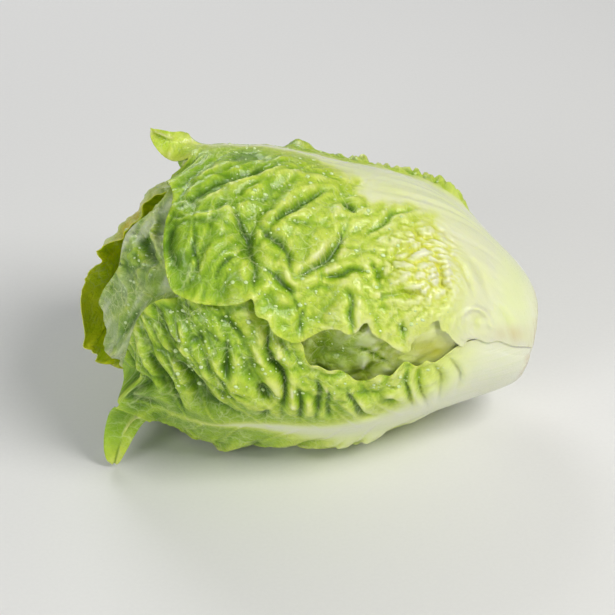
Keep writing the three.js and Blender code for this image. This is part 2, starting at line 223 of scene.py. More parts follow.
PLAIN_LEAF = dict(
    attached=True, start=0, sheath=70, waist=72, wide=92, blunt=3, lean=0, lobe=6, lobe_length=29,
    lobe_phase=0, wave=1.6, wave_length=26, flare=0, flare_length=45, rib_share=1, front_side=0, outline=None,
    tongue=None, folds=[], swellings=[], puffs=1.0, rim=0.0, behind=False,
)
UPPER_LEAF = dict(
    attached=False, share=0.985, tip=113, sheath=92, waist=92, wide=95, blunt=5, lean=3, wave=1.2,
    lobe_phase=-56, front_side=-1, outline=UPPER_OUTLINE, folds=UPPER_FOLDS, puffs=0.9, rim=1.6, back_end=101,
    tongue=dict(
        hinge=90, shoulder=106, end=126, half_width=11, back_share=0.3, taper=0.75, lifted_to=10,
        flat_from=34, back_from=13, reach=15, end_at=(-112.5, 13, 49.0), side=(0.78, 0.33, 0.53),
    ),
    swellings=[
        (17, 78, 13, -4.2), (36, 14, 15, 2.5), (96, 18, 12, 3), (82, 20, 7, -3.5), (26, 106, 6, 4.5),
        (34, 105, 6, 4.5), (45, 104, 7, 3.5), (57, 103, 7, 1.5), (69, 101, 6, 3),
    ],
)
LOWER_LEAF = dict(
    attached=False, share=0.975, tip=125, sheath=74, waist=76, blunt=4, lean=-3.5, wave=1.4, lobe_length=23,
    front_side=1, outline=LOWER_OUTLINE, folds=LOWER_FOLDS, puffs=1.0, rim=0.6, back_end=122,
    tongue=dict(
        hinge=110, shoulder=123, end=141, half_width=12, back_share=0.55, taper=0.42, lifted_to=12,
        flat_from=19, back_from=17, reach=15, end_at=(-123.5, -30, -41.0), side=(-0.97, 0.1, 0.1),
    ),
)
BACK_LEAF = dict(
    attached=False, share=0.92, tip=200, sheath=97, waist=84, wide=96, lean=4, wave=1.0, lobe_phase=120,
    flare=10, flare_length=13, behind=True,
)
LEFT_LEAF = dict(
    share=0.89, tip=170, sheath=62, waist=74, lean=-34, wave_length=24, outline=LEFT_OUTLINE,
    folds=LEFT_FOLDS, rim=0.6, swellings=[(17, -6, 9, 5), (38, -6, 14, 3.2), (60, -2, 12, 1.8)],
)
OUTER_LEAVES = [
    UPPER_LEAF,
    LOWER_LEAF,
    BACK_LEAF,
    LEFT_LEAF,
    dict(share=0.815, start=9, tip=147, lean=8, lobe_phase=90),
    dict(share=0.755, start=13, tip=146, lean=-6, lobe_phase=40),
]


def heart_leaf(i):
    return dict(
        share=0.68 - 0.085 * i, start=18 + 4 * i, tip=134 - 5 * i, lean=8 * (-1) ** i, lobe_phase=70 * i,
        wave=1.2, rib_share=0.62 - 0.05 * i, puffs=0.5,
    )


def all_leaves():
    """Every leaf with its name and place in the spiral, the outermost first."""
    table = [(f"outer_leaf_{i + 1}", leaf) for i, leaf in enumerate(OUTER_LEAVES)]
    table += [(f"heart_leaf_{i + 1}", heart_leaf(i)) for i in range(6)]
    return [
        {**PLAIN_LEAF, **leaf, "name": name, "seed": i + 1, "rib": FIRST_RIB - DIVERGENCE * i}
        for i, (name, leaf) in enumerate(table)
    ]


# Numbers and noise.


def smoothstep(x, a, b):
    t = np.clip((x - a) / (b - a), 0, 1)
    return t * t * (3 - 2 * t)


def lerp(a, b, t):
    return a + (b - a) * t


def unit(vectors):
    return vectors / np.linalg.norm(vectors, axis=-1, keepdims=True)


def wave(turns, phase):
    return np.sin(2 * math.pi * turns + math.radians(phase))


def bell(x, width):
    return np.exp(-((x / width) ** 2))


HASH_STEPS = (374761393, 668265263, 1274126177)
HASH_MIXES = ((13, 1103515245), (16, 2246822519))


def hashed(ix, iy, seed):
    """A number from 0 to 1 for every pair of whole numbers."""
    a, b, c = HASH_STEPS
    h = (ix.astype(np.int64) * a + iy.astype(np.int64) * b + int(seed) * c) & 0xFFFFFFFF
    for shift, factor in HASH_MIXES:
        h = ((h ^ (h >> shift)) * factor) & 0xFFFFFFFF
    return ((h ^ (h >> 15)) & 0xFFFFFF) / float(0x1000000)


def value_noise(x, y, seed):
    """Smooth noise from -1 to 1."""
    ix, iy = np.floor(x), np.floor(y)
    fx, fy = smoothstep(x - ix, 0, 1), smoothstep(y - iy, 0, 1)
    low = lerp(hashed(ix, iy, seed), hashed(ix + 1, iy, seed), fx)
    high = lerp(hashed(ix, iy + 1, seed), hashed(ix + 1, iy + 1, seed), fx)
    return 2 * lerp(low, high, fy) - 1


def cloudy(x, y, seed, octaves=3):
    total, size = 0, 1.0
    for i in range(octaves):
        total = total + size * value_noise(x * 2**i + 17.3 * i, y * 2**i, seed + 31 * i)
        size *= 0.5
    return total


def cells(x, y, seed):
    """How far each place is from the border between scattered cells, and a number for its cell."""
    ix, iy = np.floor(x), np.floor(y)
    first = np.full(x.shape, 9.0)
    second = np.full(x.shape, 9.0)
    number = np.zeros(x.shape)
    for dx in (-1, 0, 1):
        for dy in (-1, 0, 1):
            cx, cy = ix + dx, iy + dy
            px = cx + 0.12 + 0.76 * hashed(cx, cy, seed)
            py = cy + 0.12 + 0.76 * hashed(cx, cy, seed + 7)
            distance = np.hypot(x - px, y - py)
            nearer = distance < first
            second = np.where(nearer, first, np.minimum(second, distance))
            number = np.where(nearer, hashed(cx, cy, seed + 13), number)
            first = np.where(nearer, distance, first)
    return second - first, number


def crumpled(x, y, size, seed):
    """Round puffs of about this size with tight creases between them, from 0 in a crease to 1."""
    warp_x = 0.45 * size * cloudy(x / size / 1.6, y / size / 1.6, seed + 1, 2)
    warp_y = 0.45 * size * cloudy(x / size / 1.6, y / size / 1.6, seed + 2, 2)
    border, number = cells((x + warp_x) / size, (y + warp_y) / size, seed)
    return smoothstep(border, 0.0, 0.55) * (0.6 + 0.4 * number)


def blurred(field, reach):
    """A field on the grid, smoothed over so many millimetres."""
    for axis, spacing in enumerate((RING_STEP, COLUMN_STEP)):
        nodes = max(int(round(reach / spacing)), 1)
        weights = np.exp(-0.5 * (np.arange(-2 * nodes, 2 * nodes + 1) / nodes) ** 2)
        weights /= weights.sum()
        around = [(0, 0), (0, 0)]
        around[axis] = (2 * nodes, 2 * nodes)
        padded = np.pad(field, around, mode="wrap" if axis else "edge")
        size = field.shape[axis]
        total = 0
        for i, weight in enumerate(weights):
            total = total + weight * (padded[:, i : i + size] if axis else padded[i : i + size])
        field = total
    return field


def to_line(line, x, y):
    """How far each place is from a line through points, and the share of the line's length up to there."""
    nearest = np.full(x.shape, 1e9)
    reached = np.zeros(x.shape)
    passed = 0.0
    for (x0, y0), (x1, y1) in zip(line, line[1:]):
        dx, dy = x1 - x0, y1 - y0
        length = math.hypot(dx, dy)
        share = np.clip(((x - x0) * dx + (y - y0) * dy) / length**2, 0, 1)
        distance = np.hypot(x - x0 - share * dx, y - y0 - share * dy)
        reached = np.where(distance < nearest, passed + share * length, reached)
        nearest = np.minimum(nearest, distance)
        passed += length
    return nearest, reached / passed


def rounded_line(points, closed=False, steps=5):
    """A smooth line through points, with more points."""
    count = len(points)
    points = np.array(points, float)
    made = []
    for i in range(count if closed else count - 1):
        picks = [(i + k) % count if closed else min(max(i + k, 0), count - 1) for k in (-1, 0, 1, 2)]
        p0, p1, p2, p3 = points[picks]
        for t in np.arange(steps) / steps:
            a = 2 * p1 + (p2 - p0) * t
            b = (2 * p0 - 5 * p1 + 4 * p2 - p3) * t**2 + (3 * p1 - p0 - 3 * p2 + p3) * t**3
            made.append(tuple((a + b) / 2))
    if not closed:
        made.append(tuple(points[-1]))
    return made


def in_outline(outline, x, y):
    """The distance from a closed outline, above zero inside it."""
    line = rounded_line(outline, closed=True, steps=3)
    line = line + line[:1]
    distance, _ = to_line(line, x, y)
    within = np.zeros(x.shape, bool)
    for (x0, y0), (x1, y1) in zip(line, line[1:]):
        if y0 != y1:
            crosses = (y0 > y) != (y1 > y)
            within ^= crosses & (x < x0 + (y - y0) / (y1 - y0) * (x1 - x0))
    return np.where(within, distance, -distance)


def spot(oval, x, y, power=2):
    """1 in the middle of an oval in the front view, fading outwards."""
    middle_x, middle_y, wide, high = oval
    return np.exp(-(np.hypot((x - middle_x) / wide, (y - middle_y) / high) ** power))


# The head.


def head_radius(along):
    left = 1 - np.minimum(along / TAPER_LENGTH, 1)
    return CUT_RADIUS + (BODY_RADIUS - CUT_RADIUS) * (1 - left**TAPER_POWER) ** TAPER_EASE


def core_radius(along):
    return CORE_RADIUS * np.sqrt(np.maximum(1 - (along / CORE_LENGTH) ** 2, 0))


def axis_drop(along):
    cut = CUT_DROP * np.maximum(1 - along / CUT_DROP_LENGTH, 0) ** 2
    return cut + BELLY_DROP * (1 - smoothstep(along, BELLY_START, BELLY_END))


def rays_at(along, around):
    """Where the rays leave the axis, and their directions."""
    along, around = np.broadcast_arrays(np.asarray(along, float), np.asarray(around, float))
    s = np.minimum(along, TIP_START)
    tilt = np.radians(CUT_TILT * np.maximum(1 - s / CUT_TILT_LENGTH, 0))
    origin = np.stack([-s, np.zeros_like(s), -axis_drop(s)], -1)
    angle = np.radians(around + FRONT_ROLL)
    direction = np.stack([np.sin(tilt), np.zeros_like(s), np.cos(tilt)], -1) * np.sin(angle)[..., None]
    direction[..., 1] -= np.cos(angle)
    fan = np.maximum(along - TIP_START, 0) / BODY_RADIUS
    direction = direction * np.cos(fan)[..., None]
    direction[..., 0] -= np.sin(fan)
    roll = math.radians(FRONT_ROLL)
    turn = np.array([0, math.sin(roll), math.cos(roll)]) * math.radians(TIP_TURN)
    turn = turn + np.array([0, -math.cos(roll), math.sin(roll)]) * math.radians(TIP_DIP)
    length = float(np.linalg.norm(turn))
    axis = turn / length
    angle = (length * fan / (math.pi / 2))[..., None]
    turned = (
        direction * np.cos(angle)
        + np.cross(axis, direction) * np.sin(angle)
        + axis * (direction @ axis)[..., None] * (1 - np.cos(angle))
    )
    return origin, turned


def head_shift():
    """From the head's own coordinates to the solid model's, by the stem they share."""
    ring_step = 2 * TIP_START / SOLID_RINGS
    rings = np.arange(0, CORE_LENGTH, ring_step)
    along, around = np.meshgrid(rings, np.arange(0, 360, SOLID_STEM_STEP), indexing="ij")
    origin, direction = rays_at(along, around)
    points = (origin + direction * core_radius(along)[..., None]).reshape(-1, 3)
    tip, _ = rays_at(CORE_LENGTH, 0.0)
    points = np.vstack([points, tip.reshape(1, 3)])
    return np.array(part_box("stem_core")[0]) / MM - points.min(0)


elevation = math.radians(ELEVATION)
VIEW_UP = np.array([0, math.sin(elevation), math.cos(elevation)])
VIEW_BACK = np.array([0, -math.cos(elevation), math.sin(elevation)])
VIEW_CENTRE = np.array([-VIEW_CENTRE_LEFT, 0, 0]) + VIEW_CENTRE_UP * VIEW_UP
VIEW_DISTANCE = FRAME_WIDTH * LENS / SENSOR
PIXEL = FRAME_WIDTH / FRAME_PIXELS


def front_view(points):
    """How many pixels to the right and down the front view shows points of the head."""
    from_centre = points - VIEW_CENTRE
    scale = VIEW_DISTANCE / (VIEW_DISTANCE - from_centre @ VIEW_BACK) / PIXEL
    return FRAME_PIXELS / 2 + from_centre[..., 0] * scale, FRAME_PIXELS / 2 - (from_centre @ VIEW_UP) * scale


SHIFT = head_shift()
ALONGS = np.arange(0, TIP_START + math.radians(TIP_LAST_ANGLE) * BODY_RADIUS, RING_STEP)
AROUNDS = np.arange(COLUMNS) * 360.0 / COLUMNS
ALONG, AROUND = np.meshgrid(ALONGS, AROUNDS, indexing="ij")
ORIGIN, DIRECTION = rays_at(ALONG, AROUND)
RADIUS = head_radius(ALONG)
with np.errstate(divide="ignore", invalid="ignore"):
    FLOOR = np.where(DIRECTION[..., 2] < -1e-6, (FLOOR_DEPTH + ORIGIN[..., 2]) / -DIRECTION[..., 2], 1e6)
LIMIT = np.minimum(RADIUS, FLOOR)
CLEAR = smoothstep(FLOOR - RADIUS, 0, FLOOR_EASE)
ARC = RADIUS * np.cos(np.maximum(ALONG - TIP_START, 0) / BODY_RADIUS)
IN_VIEW = smoothstep(DIRECTION @ VIEW_BACK, -0.05, 0.15)


# Leaves.


def open_half_width(leaf, along):
    root = lerp(leaf["sheath"], leaf["waist"], smoothstep(along, leaf["start"], leaf["start"] + WAIST_AT))
    lobes = leaf["lobe"] * wave(along / leaf["lobe_length"], leaf["lobe_phase"])
    return lerp(root, leaf["wide"], smoothstep(along, WAIST_AT, WIDEST_AT)) + lobes


def place_on(leaf, along, around):
    """Degrees from the midrib, the share of the half width, and the half width."""
    from_rib = around - leaf["rib"] - leaf["lean"] * np.minimum(along / leaf["tip"], 1)
    turned = (from_rib + 180) % 360 - 180
    to_tip = np.clip((along - leaf["tip"] / 2) / (leaf["tip"] / 2), 0, 1)
    rounded = (1 - to_tip ** leaf["blunt"]) ** (1 / leaf["blunt"])
    half_width = open_half_width(leaf, along) * rounded
    return turned, np.abs(turned) / np.maximum(half_width, 1e-3), half_width


def frilled(leaf, x, side):
    """Small teeth and waves of a margin, in millimetres."""
    seed = leaf["seed"]
    return 0.9 * value_noise(x / 6.5, side * 3.1, seed) + 0.35 * value_noise(x / 2.9, side * 5.7, seed + 1)


def inside(leaf, turned, half_width):
    """Above zero inside the outline, and there roughly the distance from the margin in millimetres."""
    side = np.sign(turned)
    x, y = leaf["view"]
    growing = smoothstep(ALONG, leaf["start"] + 12, leaf["start"] + 30)
    to_side = np.radians(half_width - np.abs(turned)) * ARC + frilled(leaf, ALONG, side) * growing
    end = np.full(ALONG.shape, float(leaf["tip"]))
    tongue = leaf["tongue"]
    if tongue:
        on_front = side == leaf["front_side"]
        beside = smoothstep(np.abs(turned), tongue["half_width"], SHOULDER_WIDTH)
        behind = smoothstep(np.abs(turned), tongue["half_width"] * tongue["back_share"], tongue["back_from"])
        front_end = lerp(tongue["shoulder"], leaf["tip"] + 40, beside)
        end = np.where(on_front, front_end, lerp(tongue["shoulder"], leaf["back_end"], behind))
    ragged = 2.6 * value_noise(turned / 26, turned * 0, leaf["seed"] + 20)
    ragged = ragged + 1.1 * value_noise(turned / 9, turned * 0, leaf["seed"] + 21)
    end = end + ragged * smoothstep(np.abs(turned), 12, 26)
    blade = np.minimum(to_side, end - ALONG)
    if leaf["behind"]:
        # This leaf stands behind the tip end, and its margin follows the end's left contour.
        hidden = 0.04 + 0.7 * (1 - smoothstep(y, *BEHIND_TOP)) + 0.7 * smoothstep(y, *BEHIND_BOTTOM)
        rolling = 0.6 * value_noise(y / 24, x * 0, 61) + 0.35 * value_noise(y / 8, x * 0, 62)
        contour = (-hidden - DIRECTION @ VIEW_BACK) * RADIUS + rolling
        at_tip = smoothstep(ALONG, 84, 96)
        blade = lerp(np.minimum(blade, 60), np.minimum(contour, 60), at_tip)
    if leaf["outline"]:
        drawn = in_outline(leaf["outline"], x, y) * PIXEL
        drawn = drawn + 0.35 * frilled(leaf, (x + 0.7 * y) * PIXEL, 1.0) * growing
        if leaf["front_side"]:
            blade = np.where(side == leaf["front_side"], np.minimum(drawn, end - ALONG), blade)
        else:
            blade = np.where(IN_VIEW > 0, np.minimum(blade, drawn), blade)
    blade = np.minimum(blade, ALONG - leaf["start"] + 1e-4)
    if not tongue:
        return blade
    left = np.clip((tongue["end"] - ALONG) / (tongue["end"] - tongue["shoulder"]), 1e-6, 1)
    width = tongue["half_width"] * left ** tongue["taper"]
    width = width * np.where(side == leaf["front_side"], 1.0, tongue["back_share"])
    on_tongue = np.radians(width - np.abs(turned)) * ARC
    on_tongue = np.where((ALONG < tongue["hinge"]) | (ALONG > tongue["end"]), -9.0, on_tongue)
    return np.maximum(blade, on_tongue)


def rib_profile(turned):
    """The share of the rib's full thickness, 1 at the cut on the midrib."""
    left = np.maximum(1 - ALONG / RIB_LENGTH, 0)
    reach = lerp(RIB_HALF_WIDTH_TIP, RIB_HALF_WIDTH_BASE, left**2)
    return left * bell(np.radians(turned) * RADIUS, reach)


def drawn_folds(leaf):
    """The height of the folds placed in the front view, and how near each place is to one that goes in."""
    height = np.zeros(ALONG.shape)
    crease = np.zeros(ALONG.shape)
    x, y = leaf["view"]
    x = x + 2.5 * value_noise(x / 14, y / 14, 900)
    y = y + 2.5 * value_noise(x / 14, y / 14, 901)
    for points, width, depth in leaf["folds"]:
        left, top = np.min(points, 0) - 6 * width
        right, bottom = np.max(points, 0) + 6 * width
        near = (IN_VIEW > 0) & (x > left) & (x < right) & (y > top) & (y < bottom)
        distance, share = to_line(rounded_line(points), x[near], y[near])
        fading = np.sin(math.pi * np.clip(share, 0.04, 0.96)) ** 0.7
        distance = distance / (width * (0.55 + 0.55 * fading))
        if depth < 0:
            profile = np.exp(-1.3 * distance**1.3) - 0.28 * bell(distance - 2.1, 1.1)
            crease[near] = np.maximum(crease[near], fading * bell(distance, 1.6))
        else:
            profile = bell(distance, 1)
        height[near] += depth * fading * profile
    return height * IN_VIEW, crease * IN_VIEW


def relief(leaf, turned, across, margin):
    """How far the blade stands out, and its vein lines for the colours."""
    seed = leaf["seed"]
    side = np.sign(turned)
    u = ALONG - leaf["start"]
    v = np.radians(turned) * ARC
    av = np.abs(v)
    edge = smoothstep(across, 0.6, 1) * smoothstep(ALONG, 20, 50)
    height = leaf["wave"] * edge * wave(ALONG / leaf["wave_length"], leaf["rib"])
    if leaf["behind"]:
        flaring = leaf["flare"] * (smoothstep(leaf["view"][1], *FLARE_ROWS) - 0.47)
        near_margin = 1 - smoothstep(margin, 0, leaf["flare_length"])
        height = height + flaring * near_margin * smoothstep(ALONG, 84, 96)
    for at, turn, reach, tall in leaf["swellings"]:
        gap = (AROUND - turn + 180) % 360 - 180
        height = height + tall * bell(np.hypot(ALONG - at, np.radians(gap) * RADIUS), reach)

    # Side veins leave the midrib and bend towards the tip. The blade swells between them.
    blade = smoothstep(u, 16, 48) * smoothstep(av, 4, 15)
    warp = 3.0 * cloudy(u / 24, v / 24, seed + 40, 2)
    phase = (u + warp - 0.8 * av + 0.004 * av**2) / 14 + 0.5 * (side > 0)
    from_vein = np.abs(phase - np.round(phase)) * 14
    vein = bell(from_vein, 0.55) * smoothstep(u, 20, 50) * (1 - smoothstep(across, 0.75, 1))
    between = smoothstep(from_vein, 0, 5)
    lively = np.clip(0.75 + 0.45 * cloudy(u / 30, v / 30, seed + 45, 1), 0.35, 1.2)
    broad = cloudy(phase * 0.7, av / 19, seed + 90, 2)
    puffs = crumpled(phase * 14, av * 0.9, 7.5, seed + 60)
    small = crumpled(u, v, 3.4, seed + 70)
    detail = 1.5 * between + 1.9 * broad + 1.5 * (puffs - 0.5) * lively + 0.42 * (small - 0.5) * lively
    drawn, crease = drawn_folds(leaf)
    detail = detail * (1 - 0.25 * IN_VIEW * (seed == 1)) * (1 - 0.4 * crease)
    ball = white = behind = 0 * ALONG
    if seed == 1:
        # The pale petiole along the top right stays smooth, and the blade's back half starts in tight puffs.
        x, y = leaf["view"]
        ragged = 1.2 * cloudy(x / 12, y / 12, 305, 2)
        white = smoothstep(in_outline(WHITE_OUTLINE, x, y) * PIXEL + ragged, -2.0, 2.5) * IN_VIEW
        behind = smoothstep(turned, 14, 20) * (1 - smoothstep(turned, 30, 52)) * smoothstep(u, 17, 22)
        blade = np.maximum(blade, behind)
        starting = 2.0 * behind * (1 - smoothstep(u, 45, 65)) * (small + puffs - 0.8)
        detail = detail * (1 - 0.85 * white) + starting
        height = height + 0.35 * white * value_noise(turned / 3.2, u / 34, 306) * smoothstep(u, 8, 20)
    height = height + leaf["puffs"] * blade * detail + 0.25 * vein + drawn
    if seed == 1:
        ball = spot(BALL, x, y, 4) * IN_VIEW
        to_left, down = BALL_ROOT[0] - x, y - BALL_ROOT[1]
        fan = np.arctan2(down, to_left)
        reach = np.hypot(down, to_left) * PIXEL
        tight = crumpled(reach * 0.6, fan * 22, 3.0, 300)
        tighter = crumpled(x * PIXEL * 0.8, y * PIXEL, 2.0, 301)
        height = height + ball * (1.5 * tight + 0.6 * tighter - 0.6)
    height = height + leaf["rim"] * bell(np.maximum(margin, 0), 4) * smoothstep(u, 20, 45)
    leaf.update(vein_map=vein, crease_map=crease, height_map=height)
    leaf.update(ball_map=ball, white_map=white, puff_map=behind)
    return height


def thickness(leaf, turned, margin):
    blade = BLADE * lerp(0.4, 1.0, smoothstep(margin, 0, 3))
    return blade + RIB_BASE * leaf["rib_share"] * rib_profile(turned)


def work_out_faces(leaves):
    """Inner and outer distance of every leaf on every ray, in strict order."""
    for leaf in leaves:
        leaf["view"] = front_view(ORIGIN + DIRECTION * (leaf["share"] * LIMIT)[..., None])
        turned, across, half_width = place_on(leaf, ALONG, AROUND)
        margin = inside(leaf, turned, half_width)
        height = relief(leaf, turned, across, margin)
        leaf["view"] = front_view(ORIGIN + DIRECTION * (leaf["share"] * LIMIT + CLEAR * height)[..., None])
        margin = inside(leaf, turned, half_width)
        thick = thickness(leaf, turned, margin)
        free = smoothstep(ALONG, leaf["start"], leaf["start"] + ATTACH_LENGTH) if leaf["attached"] else 1.0
        shell = leaf["share"] * LIMIT + CLEAR * height
        wanted = lerp(core_radius(ALONG) + GAP + thick, shell, free)
        leaf.update(turned=turned, margin=margin, thick=thick, wanted=wanted, covered=margin > -UNDER_MARGIN)
    # The hidden inner leaves are stacked outwards from the stem.
    pile = core_radius(ALONG)
    outer_leaves = [leaf for leaf in leaves if leaf["seed"] <= 4]
    for leaf in reversed([leaf for leaf in leaves if leaf["seed"] > 4]):
        low = np.maximum(leaf["wanted"] - leaf["thick"], pile + GAP)
        leaf["low"], leaf["high"] = low, low + leaf["thick"]
        pile = np.where(leaf["covered"], np.maximum(pile, leaf["high"]), pile)
    # The four outer leaves keep their own folds: each presses in the ones under it, down to their room.
    room = pile.copy()
    for leaf in reversed(outer_leaves):
        leaf["lowest"] = room + GAP
        room = np.where(leaf["covered"], room + GAP + BLADE, room)
    ceiling = np.full(ALONG.shape, 1e3)
    for leaf in outer_leaves:
        pressed = np.maximum(leaf["wanted"] - (ceiling - GAP), 0)
        pressed = np.maximum(pressed, blurred(np.minimum(pressed, 8), 1.6))
        high = np.minimum(leaf["wanted"] - pressed, ceiling - GAP)
        high = np.maximum(high, leaf["lowest"] + BLADE)
        leaf["thick"] = np.clip(high - leaf["lowest"], 0.8 * BLADE, leaf["thick"])
        leaf["high"], leaf["low"] = high, high - leaf["thick"]
        ceiling = np.where(leaf["covered"], np.minimum(ceiling, leaf["low"]), ceiling)
    # At the cut each leaf fills the room down to the one below.
    for leaf in reversed(outer_leaves):
        filled = 1 - smoothstep(ALONG, leaf["start"], leaf["start"] + FILL_LENGTH)
        leaf["low"] = np.maximum(lerp(leaf["low"], pile + GAP, filled), pile + GAP)
        leaf["high"] = np.maximum(leaf["high"], leaf["low"] + 0.6 * BLADE)
        pile = np.where(leaf["covered"], np.maximum(pile, leaf["high"]), pile)


def tongue_points(leaf, rows):
    """Where the tongue carries the points past its hinge: along a curve to its end, turned onto its side."""
    tongue = leaf["tongue"]
    along, around = ALONG[rows], AROUND[rows]
    high = leaf["high"][rows]
    hinge = np.full_like(along, tongue["hinge"])
    middle = leaf["rib"] + leaf["lean"] * np.minimum(along / leaf["tip"], 1)
    columns = np.round(middle / 360 * COLUMNS).astype(int) % COLUMNS
    hinge_row = int(np.argmax(ALONGS >= tongue["hinge"]))
    middle_high = leaf["high"][hinge_row][columns][..., None]
    origin, direction = rays_at(hinge, around)
    root = origin + direction * high[..., None]
    middle_origin, middle_direction = rays_at(hinge, middle)
    start = middle_origin + middle_direction * middle_high
    next_origin, next_direction = rays_at(hinge + 1, middle)
    onward = unit(next_origin + next_direction * middle_high - start)
    side_origin, side_direction = rays_at(hinge, middle + 1)
    sideways = side_origin + side_direction * middle_high - start
    sideways = unit(sideways - onward * (sideways * onward).sum(-1, keepdims=True))
    share = ((along - tongue["hinge"]) / (tongue["end"] - tongue["hinge"]))[..., None]
    bend = start + onward * tongue["reach"]
    finish = np.array(tongue["end_at"], float)
    curve = start * (1 - share) ** 2 + 2 * bend * share * (1 - share) + finish * share**2
    tangent = unit(2 * (bend - start) * (1 - share) + 2 * (finish - bend) * share)
    side = lerp(sideways, np.array(tongue["side"], float), smoothstep(share, 0.1, 0.9))
    side = unit(side - tangent * (side * tangent).sum(-1, keepdims=True))
    offset = root - start
    out_axis, out_axis_now = np.cross(onward, sideways), np.cross(tangent, side)

    def carried(vectors):
        parts = [(vectors * axis).sum(-1, keepdims=True) for axis in (onward, sideways, out_axis)]
        return parts[0] * tangent + parts[1] * side + parts[2] * out_axis_now

    return curve + carried(offset), carried(direction)


def face_points(leaf):
    """Outer and inner points of a leaf on every ray. A tongue leaves the head."""
    outer = ORIGIN + DIRECTION * leaf["high"][..., None]
    inner = ORIGIN + DIRECTION * leaf["low"][..., None]
    tongue = leaf["tongue"]
    if tongue:
        rows = (ALONGS >= tongue["hinge"]) & (ALONGS <= tongue["end"] + 2 * RING_STEP)
        points, normals = tongue_points(leaf, rows)
        turned = leaf["turned"][rows]
        on_front = np.sign(turned) == leaf["front_side"]
        lifted_to = np.where(on_front, tongue["lifted_to"], tongue["lifted_to"] * tongue["back_share"])
        flat_from = np.where(on_front, tongue["flat_from"], tongue["back_from"])
        lifted = 1 - smoothstep(np.abs(turned), lifted_to, flat_from)[..., None]
        normal = unit(lerp(DIRECTION[rows], normals, lifted))
        outer[rows] = lerp(outer[rows], points, lifted)
        inner[rows] = outer[rows] - normal * (leaf["high"] - leaf["low"])[rows][..., None]
    return outer, inner


def grid_corners(step):
    """Node numbers of the grid's cells at every so many rings and columns."""
    rings, columns = ALONG.shape
    ring = np.arange(0, rings - step, step)
    column = np.arange(0, columns, step)
    ring, column = np.meshgrid(ring, column, indexing="ij")
    following = (column + step) % columns
    a = ring * columns + column
    b = ring * columns + following
    c = (ring + step) * columns + following
    d = (ring + step) * columns + column
    return np.stack([a, b, c, d], -1).reshape(-1, 4)


def cut_sheet(leaf, step):
    """The blade: each point's two nodes and the share between them, then the faces and the rim."""
    values = leaf["margin"].reshape(-1)
    quads = grid_corners(step)
    within = values[quads] > 0
    whole = quads[within.all(1)]
    partly = quads[within.any(1) & ~within.all(1)]
    corners, numbers = [], {}

    def number(low, high, share):
        key = (low, high)
        if key not in numbers:
            numbers[key] = len(corners)
            corners.append((low, high, share))
        return numbers[key]

    for n in np.unique(whole):
        number(int(n), int(n), 0.0)
    lookup = np.full(values.size, -1)
    used = np.array([corner[0] for corner in corners])
    lookup[used] = np.arange(len(used))
    faces = [tuple(face) for face in lookup[whole].tolist()]
    for a, b, c, d in partly.tolist():
        for triangle in ((a, b, c), (a, c, d)):
            ring = []
            for i, n in enumerate(triangle):
                following = triangle[(i + 1) % 3]
                if values[n] > 0:
                    ring.append(number(n, n, 0.0))
                if (values[n] > 0) != (values[following] > 0):
                    low, high = min(n, following), max(n, following)
                    share = min(max(values[low] / (values[low] - values[high]), 0.06), 0.94)
                    ring.append(number(low, high, share))
            if len(ring) > 2:
                faces.append(tuple(ring))
    low, high, share = (np.array(column) for column in zip(*corners))
    edges = {(n, face[(i + 1) % len(face)]) for face in faces for i, n in enumerate(face)}
    rim = sorted((a, b) for a, b in edges if (b, a) not in edges)
    return low, high, share, faces, rim


def mixed(field, low, high, share):
    flat = field.reshape(-1, *field.shape[2:])
    weight = share if flat.ndim == 1 else share[:, None]
    return flat[low] * (1 - weight) + flat[high] * weight


# Colours.

GREENS = [
    (0.00, (229, 231, 210)),
    (0.14, (225, 232, 180)),
    (0.30, (214, 228, 118)),
    (0.46, (195, 216, 72)),
    (0.64, (158, 192, 40)),
    (0.82, (116, 156, 18)),
    (1.00, (74, 112, 8)),
]
YELLOW = (214, 196, 8)
FRESH_YELLOW = (228, 230, 44)
GAP_YELLOW = (178, 180, 26)
# Painted shade for the inner leaf under the first leaf's margin.
HOLLOW_SHADE_GREEN = (118, 150, 12)
# Painted light on the inner face of the leaf behind the tip end.
UNDERSIDE_PAINTED_LIGHT = (230, 244, 38)
STAIN = (212, 198, 142)
PALE_NET = (216, 226, 190)
GROWN_AT = [0, 14, 26, 40, 60, 85, 115, 150]
GROWN = [0.02, 0.05, 0.21, 0.40, 0.52, 0.66, 0.75, 0.80]
AGED_LINE = [(143, 206), (130, 224), (123, 234), (114, 246), (106, 262)]


def linear(values):
    values = np.asarray(values, float) / 255
    return np.where(values <= 0.04045, values / 12.92, ((values + 0.055) / 1.055) ** 2.4)


def green_scale(amount):
    stops = np.array([stop for stop, _ in GREENS])
    colours = np.array([linear(colour) for _, colour in GREENS])
    return np.stack([np.interp(amount, stops, colours[:, i]) for i in range(3)], -1)


def painted(colour, paint, share):
    return lerp(colour, linear(paint), share[..., None])


